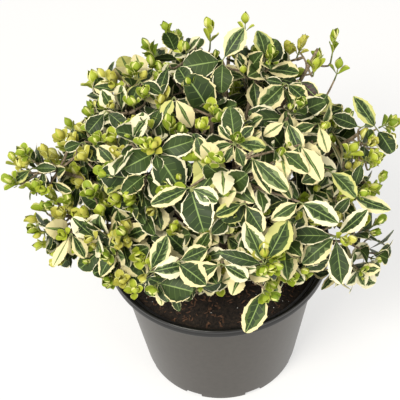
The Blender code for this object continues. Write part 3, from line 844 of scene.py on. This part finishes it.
def fresh_shoot(g, foot, ahead, length, pairs, scale, rng, golden):
    """A young shoot of that many pairs of small leaves spread over its length, with a bud on top."""
    nodes = pairs + 1
    bend = Vector((rng.uniform(-0.12, 0.12), rng.uniform(-0.12, 0.12), 0))
    path = [foot + (ahead + bend * (k / nodes) ** 2) * (length * k / nodes) for k in range(nodes + 1)]
    g.twigs.add(*tube(path, [0.75 * MM - 0.25 * MM * k / nodes for k in range(nodes + 1)], 5, 1))
    turn = rng.uniform(0, math.pi)
    inner = rng.choices(("young_green", "young_lime", "young_gold", "young_deep"), (4, 4, 5 * golden, 1))[0]
    outer = rng.choices(("young_edge", "young_lime", "leaf_pale"), (6, 1, 2))[0]
    for k in range(1, nodes + 1):
        axis = (path[k] - path[k - 1]).normalized()
        side = axis.orthogonal().normalized()
        other = axis.cross(side)
        last = k == nodes
        opening, plump = rng.choice((0.0, 0.0, 0.15, 0.4)), rng.uniform(0.9, 1.2)
        spread = math.radians(rng.choice((44, 56, 68)) + rng.uniform(-8, 8))
        for half in range(2):
            a = turn + k * math.pi / 2 + half * math.pi
            out = side * math.cos(a) + other * math.sin(a)
            if last:
                length, radius = BUD_LENGTH * scale, BUD_RADIUS * scale * plump
                made = bud_scale(path[k], axis, out, length, radius, opening, inner, outer)
            else:
                along = axis * math.cos(spread) + out * math.sin(spread)
                size = scale * rng.uniform(0.85, 1.15)
                cup, droop = rng.uniform(0.4, 0.75), rng.uniform(-0.6, -0.2)
                length, width = YOUNG_LENGTH * size, YOUNG_WIDTH * size
                made = young_leaf(path[k], along, axis, length, width, rng, inner, outer, cup, droop)
            g.young.add(*made)


def side_twig(path, main):
    """The same twig grown from the nearest of the mass's main twigs instead of its stem."""
    spots = [q for twig in main for q in twig[1:4]]
    if not spots:
        return path
    best = min(spots, key=lambda q: (q - path[2]).length + 0.5 * (q - path[-1]).length)
    return twig_line(best, path[-1], (path[-1] - path[-2]).normalized(), TWIG_BENDS)


def grow_shoot(g, mass, path, share, rng):
    """The leaf pairs down one twig from its tip, and the young growth on it."""
    tip, ahead = path[-1], (path[-1] - path[-2]).normalized()
    outward = (tip - CROWN_CENTRE).normalized()
    is_young = rng.random() < mass.young
    turn = rng.uniform(0, math.pi)
    lengths = [(b - a).length for a, b in zip(path, path[1:])]
    reach, back, pair = sum(lengths), 1 * MM, 0
    if is_young:
        back = rng.uniform(5, 12) * MM
    size_here = share * rng.uniform(0.78, 1.18)
    kind = shoot_kind(mass, rng)
    while back < reach * 0.8 and pair < MOST_PAIRS:
        left, i = reach - back, 0
        while left > lengths[i]:
            left -= lengths[i]
            i += 1
        place = path[i].lerp(path[i + 1], left / lengths[i])
        axis = (path[i + 1] - path[i]).normalized()
        for half in range(2):
            size = size_here * PAIR_SIZES[pair] * rng.uniform(0.88, 1.12)
            heading = turn + (pair + half * 2) * math.pi / 2
            grow_leaf(g, mass, place, axis, outward, heading, pair, size, kind, rng)
        pair += 1
        back += PAIR_STEP * share * rng.uniform(0.8, 1.3)
    grow_young(g, mass, tip, ahead, outward, share, rng, is_young)


def grow_leaf(g, mass, place, axis, outward, turn, pair, size, kind, rng):
    """A leaf on its stalk, turned a little where its first place is taken."""
    side = axis.orthogonal().normalized()
    other = axis.cross(side)
    length, width = LEAF_LENGTH * size, LEAF_WIDTH * size * rng.uniform(0.88, 1.12)
    up = Vector((rng.uniform(-0.35, 0.35), rng.uniform(-0.35, 0.35), rng.uniform(0.25, 0.8)))
    for attempt in LEAF_TURNS:
        a = turn + attempt
        b = math.radians(PAIR_SPREADS[pair] + rng.uniform(-10, 10))
        along = axis * math.cos(b) + (side * math.cos(a) + other * math.sin(a)) * math.sin(b)
        along = (along + Vector((0, 0, 0.08))).normalized()
        face = (axis * 0.8 + outward * 0.5 + up).normalized()
        foot = place + along * PETIOLE
        middle, end = foot + along * (0.5 * length), foot + along * length
        across = face.cross(along).normalized() * (width / 2)
        spots = (middle + across, middle - across, end)
        if min(own_space(mass, p) for p in spots) < -LEAF_OVERHANG:
            continue
        if not clear_of_pot(spots) or not in_reach(spots):
            continue
        if g.crowd.near(middle, LEAF_CLEARANCE * min(1, size)) or g.kept_clear(middle, end):
            continue
        g.crowd.add(middle)
        g.crowd.add(foot + along * (0.85 * length))
        g.mature.add(*mature_leaf(foot, along, face, length, width, rng, leaf_look(kind, rng)))
        g.twigs.add(*tube([place, foot + along * (0.03 * length)], (0.55 * MM, 0.45 * MM), 4, 1))
        return


def grow_young(g, mass, tip, ahead, outward, share, rng, is_young):
    """The fresh growth at a shoot's tip, no longer than the room there."""
    up = (ahead * 0.5 + outward * 0.3 + Vector((0, 0, 0.6))).normalized()
    pairs = rng.choice((1, 2, 2, 3)) if is_young else rng.choice((0, 1, 1))
    scale = (rng.uniform(0.85, 1.15) if is_young else rng.uniform(0.65, 0.9)) * share**0.5
    length = YOUNG_STEP * (pairs + 1) * scale * (1 if is_young else 0.5)
    room = own_space(mass, tip) + 5 * MM - BUD_LENGTH * scale
    length = max(3 * MM, min(length, room))
    if not in_reach([tip + up * (length + BUD_LENGTH * scale)]) or g.kept_clear(tip + up * length):
        return
    golden = 1.0 if mass.young > 0.7 else 0.2
    fresh_shoot(g, tip, up, length, pairs, scale, rng, golden)
    side = up.orthogonal().normalized()
    for k in range(rng.choice((0, 1, 2)) if is_young else 0):
        a = rng.uniform(0, 2 * math.pi)
        lean = (up + (side * math.cos(a) + up.cross(side) * math.sin(a)) * 0.55).normalized()
        foot = tip - ahead * (3 * MM * (k + 1))
        if in_reach([foot + lean * (length + BUD_LENGTH)]) and not g.kept_clear(foot + lean * length):
            fresh_shoot(g, foot, lean, length * 0.7, rng.choice((0, 1, 1)), scale * 0.85, rng, golden)


def make_limbs():
    """The main stem and boughs with a woody skin, each knotted a little along its length."""
    wood = Builder("woody_limbs", ["bark"])
    rng = random.Random(STEM_SEED)
    heights = [SOIL_TOP - 1 * MM + (STEM_TOP - SOIL_TOP + 0.8 * MM) * i / 24 for i in range(25)]
    radii = [stem_radius(max(z, SOIL_TOP)) for z in heights]
    points, faces, marks = tube([stem_axis(z) for z in heights], radii, 20, 0)
    wood.add(rough(points, 0.5 * MM, 260), faces, marks)
    for mass in MASSES:
        path = bough_path(mass)
        n = len(path) - 1
        radii = [BOUGH_ROOT_RADIUS + (BOUGH_TIP_RADIUS - BOUGH_ROOT_RADIUS) * i / n for i in range(n + 1)]
        radii = [r * rng.uniform(0.92, 1.05) for r in radii]
        points, faces, marks = tube(path, radii, 10, 0)
        wood.add(rough(points, 0.2 * MM, 420), faces, marks)
    wood.write()
    obj = wood.made[0]
    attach(obj, "root")
    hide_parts("stem", *["bough_" + m.name for m in MASSES])


def rough(points, depth, scale):
    moved = [Vector(p) + noise.noise_vector(Vector(p) * scale) * depth for p in points]
    return np.array([tuple(p) for p in moved])


def ring(made, radius, steps, height):
    """Points about Z at the height that the function gives for their place, or one point on the axis."""
    if radius < 1e-6:
        return [made.verts.new((0, 0, height(0, 0)))]
    turns = [2 * math.pi * k / steps for k in range(steps)]
    places = [(radius * math.cos(a), radius * math.sin(a)) for a in turns]
    return [made.verts.new((x, y, height(x, y))) for x, y in places]


def skin(name, made, rings, steps):
    """An object whose faces join each ring of points to the next."""
    for near, far in zip(rings, rings[1:]):
        for k in range(steps):
            corners = [loop[(k + j) % len(loop)] for loop, j in ((near, 0), (far, 0), (far, 1), (near, 1))]
            corners = list(dict.fromkeys(corners))
            if len(corners) > 2:
                made.faces.new(corners)
    bmesh.ops.recalc_face_normals(made, faces=made.faces)
    mesh = bpy.data.meshes.new(name)
    made.to_mesh(mesh)
    made.free()
    return placed(mesh)


def corner(cx, cz, radius, start, end, steps=4):
    """Points of a round edge in a turned profile."""
    turns = [math.radians(start + (end - start) * i / steps) for i in range(steps + 1)]
    return [(cx + radius * math.cos(a), cz + radius * math.sin(a)) for a in turns]


def pot_profile():
    """The pot's (radius, height) points, from its inner floor over the rim to its underside."""

    def inner(z):
        return wall_radius(z) - POT_WALL

    rim_foot = POT_HEIGHT - POT_RIM_DEPTH
    inside = POT_RIM_RADIUS - POT_RIM_WALL
    r, lip = POT_LIP_ROUND, 1.2 * POT_LIP_ROUND
    above_floor = POT_FLOOR + 1 * MM
    profile = [(0, POT_FLOOR), (inner(POT_FLOOR) - 1 * MM, POT_FLOOR), (inner(above_floor), above_floor)]
    profile += [(inner(z * MM), z * MM) for z in POT_INNER_HEIGHTS]
    profile += [(inner(rim_foot - 2 * MM), rim_foot - 2 * MM), (inside, rim_foot + 1.5 * MM)]
    profile += corner(inside + r, POT_HEIGHT - r, r, 180, 90)
    profile += corner(POT_RIM_RADIUS - lip, POT_HEIGHT - lip, lip, 90, 0)
    profile += [(POT_RIM_RADIUS - sunk * MM, POT_HEIGHT - depth * MM) for sunk, depth in POT_RIM_GROOVE]
    profile += [(POT_RIM_RADIUS, rim_foot + 1.4 * r)]
    profile += corner(POT_RIM_RADIUS - r, rim_foot + r, r, 0, -90)
    shoulder = wall_radius(rim_foot)
    profile += [(shoulder + 0.8 * MM, rim_foot), (shoulder + 0.1 * MM, rim_foot - 0.9 * MM)]
    profile += [(wall_radius(z * MM), z * MM) for z in POT_OUTER_HEIGHTS]
    profile += corner(POT_BASE_RADIUS - POT_FOOT_ROUND, POT_FOOT_ROUND, POT_FOOT_ROUND, 0, -90)
    return profile + [(POT_BASE_RADIUS - 12 * MM, 0), (0, 0)]


def drain_cutters():
    """One block for each drain slot at the pot's foot."""
    made = bmesh.new()
    for i in range(DRAIN_SLOTS):
        block = bmesh.ops.create_cube(made, size=1)["verts"]
        turn = Matrix.Rotation(2 * math.pi * (i + 0.5) / DRAIN_SLOTS, 4, "Z")
        place = turn @ Matrix.Translation((POT_BASE_RADIUS, 0, 0)) @ Matrix.Diagonal((*DRAIN_SLOT_SIZE, 1))
        bmesh.ops.transform(made, matrix=place, verts=block)
    mesh = bpy.data.meshes.new("slots")
    made.to_mesh(mesh)
    made.free()
    return placed(mesh)


def make_pot():
    """The pot: a matt grey wall, a black rim and inside, and drain slots at the foot."""
    made = bmesh.new()
    rings = [ring(made, radius, POT_STEPS, lambda x, y, z=z: z) for radius, z in pot_profile()]
    pot = skin("pot_skin", made, rings, POT_STEPS)
    pot.data.materials.append(MATERIALS["pot"])
    pot.data.materials.append(MATERIALS["rim"])
    for face in pot.data.polygons:
        z, radius = face.center.z, math.hypot(face.center.x, face.center.y)
        on_rim = z > POT_HEIGHT - POT_RIM_DEPTH - 0.3 * MM
        face.material_index = 1 if on_rim or radius < wall_radius(z) - 1 * MM else 0
    slots = drain_cutters()
    cut = pot.modifiers.new("slots", "BOOLEAN")
    cut.operation, cut.object = "DIFFERENCE", slots
    graph = bpy.context.evaluated_depsgraph_get()
    done = bpy.data.meshes.new_from_object(pot.evaluated_get(graph))
    pot.modifiers.clear()
    pot.data = done
    bpy.data.objects.remove(slots)
    pot.data.shade_smooth()
    pot.data.set_sharp_from_angle(angle=POT_SHARP_ANGLE)
    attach(pot, "root")
    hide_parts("pot")


def soil_height(x, y):
    p = Vector((x, y, 0))
    return SOIL_TOP + sum(depth * noise.noise(p * scale) for depth, scale in SOIL_WAVES)


def make_soil():
    """Loose potting soil: an uneven top with crumbs and bark fibres lying on it."""
    edge = wall_radius(SOIL_TOP) - POT_WALL - SOIL_SLACK
    low = wall_radius(SOIL_FOOT) - POT_WALL - SOIL_SLACK
    made = bmesh.new()
    rings = [ring(made, edge * i / SOIL_RINGS, SOIL_STEPS, soil_height) for i in range(SOIL_RINGS + 1)]
    rings += [ring(made, radius, SOIL_STEPS, lambda x, y: SOIL_FOOT) for radius in (low, 0)]
    soil = skin("soil_top", made, rings, SOIL_STEPS)
    soil.data.shade_smooth()
    soil.data.materials.append(MATERIALS["soil"])
    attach(soil, "root")
    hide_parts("soil")
    points, faces, marks = soil_bits(edge - 2 * MM)
    bits = placed(joined("soil_bits", points, faces, marks, ("crumb", "chip", "speck")))
    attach(bits, "root")


def soil_bits(reach):
    """Points, faces and slots of the crumbs, flat bark chips and pale specks that lie on the soil."""
    rng = random.Random(SOIL_SEED)
    points, faces, marks = [], [], []
    for _ in range(SOIL_BITS):
        radius, a = reach * math.sqrt(rng.random()), rng.uniform(0, 2 * math.pi)
        x, y = radius * math.cos(a), radius * math.sin(a)
        kind = rng.choices((0, 1, 2), BIT_SHARES)[0]
        long = tuple(rng.uniform(*span) for span in BIT_LENGTHS)[kind] * MM
        wide = (long * 0.7, rng.uniform(0.7, 1.8) * MM, long * 0.8)[kind]
        bit = bmesh.new()
        bmesh.ops.create_icosphere(bit, subdivisions=1, radius=0.5)
        turn = Matrix.Rotation(rng.uniform(0, 6.28), 4, "Z")
        tilt = Matrix.Rotation(rng.uniform(-0.5, 0.5), 4, "Y")
        place = Matrix.Translation((x, y, soil_height(x, y) + 0.2 * MM)) @ turn @ tilt
        for v in bit.verts:
            v.co *= rng.uniform(0.75, 1.2)
        bit.transform(place @ Matrix.Diagonal((long, wide, wide * 0.7, 1)))
        faces += [[len(points) + v.index for v in face.verts] for face in bit.faces]
        points += [tuple(v.co) for v in bit.verts]
        bit.free()
        marks += [kind] * (len(faces) - len(marks))
    return np.array(points), np.array(faces), np.array(marks)


def make_stage():
    """A pale floor that glows a little, an even sky and two soft lamps."""
    mesh = bpy.data.meshes.new("floor")
    r = FLOOR_HALF_SIZE
    mesh.from_pydata([(-r, -r, 0), (r, -r, 0), (r, r, 0), (-r, r, 0)], [], [(0, 1, 2, 3)])
    white = principled("floor", (FLOOR_GREY, FLOOR_GREY, FLOOR_GREY), 0.9, 0.1)
    shader = white.node_tree.nodes["Principled BSDF"]
    shader.inputs["Emission Color"].default_value = (1, 1, 1, 1)
    shader.inputs["Emission Strength"].default_value = FLOOR_GLOW
    mesh.materials.append(white)
    floor = placed(mesh)
    floor.location.z = -FLOOR_DROP
    world = bpy.data.worlds.new("studio")
    bpy.context.scene.world = world
    world.use_nodes = True
    sky = world.node_tree.nodes["Background"]
    sky.inputs["Color"].default_value = (*SKY_COLOUR, 1)
    sky.inputs["Strength"].default_value = SKY_STRENGTH
    for name, place, power, size in LAMPS:
        light = bpy.data.lights.new(name, "AREA")
        light.energy, light.size = power, size
        light.color = LAMP_COLOUR
        lamp = placed(light)
        lamp.location = place
        lamp.rotation_euler = (Vector(place) - LAMP_AIM).to_track_quat("Z", "Y").to_euler()


def make_camera():
    """The camera, turned until the rim's middle lands on its pixel."""
    e = math.radians(CAMERA_ELEVATION)
    back = Vector((0, -math.cos(e), math.sin(e)))
    rim = Vector((0, 0, POT_HEIGHT))
    camera = bpy.data.cameras.new("camera")
    camera.sensor_width = SENSOR_WIDTH
    camera.lens = FOCAL_PIXELS / FRAME_PIXELS * camera.sensor_width
    obj = placed(camera)
    u, v = RIM_AT[0] - FRAME_PIXELS / 2, RIM_AT[1] - FRAME_PIXELS / 2
    aim = Vector((u, -v, -FOCAL_PIXELS)).normalized()
    level = Matrix((FRONT_RIGHT, Vector((0, math.sin(e), math.cos(e))), back)).transposed()
    swing = aim.rotation_difference(Vector((0, 0, -1))).to_matrix()
    roll = Matrix.Rotation(-math.radians(CAMERA_ROLL), 3, "Z")
    obj.matrix_world = Matrix.Translation(rim + back * CAMERA_DISTANCE) @ (level @ roll @ swing).to_4x4()
    bpy.context.scene.camera = obj
    bpy.context.scene.view_settings.view_transform = "Standard"


make_camera()
make_stage()
make_pot()
make_soil()
make_limbs()
grow_leaves()
bpy.context.view_layer.update()
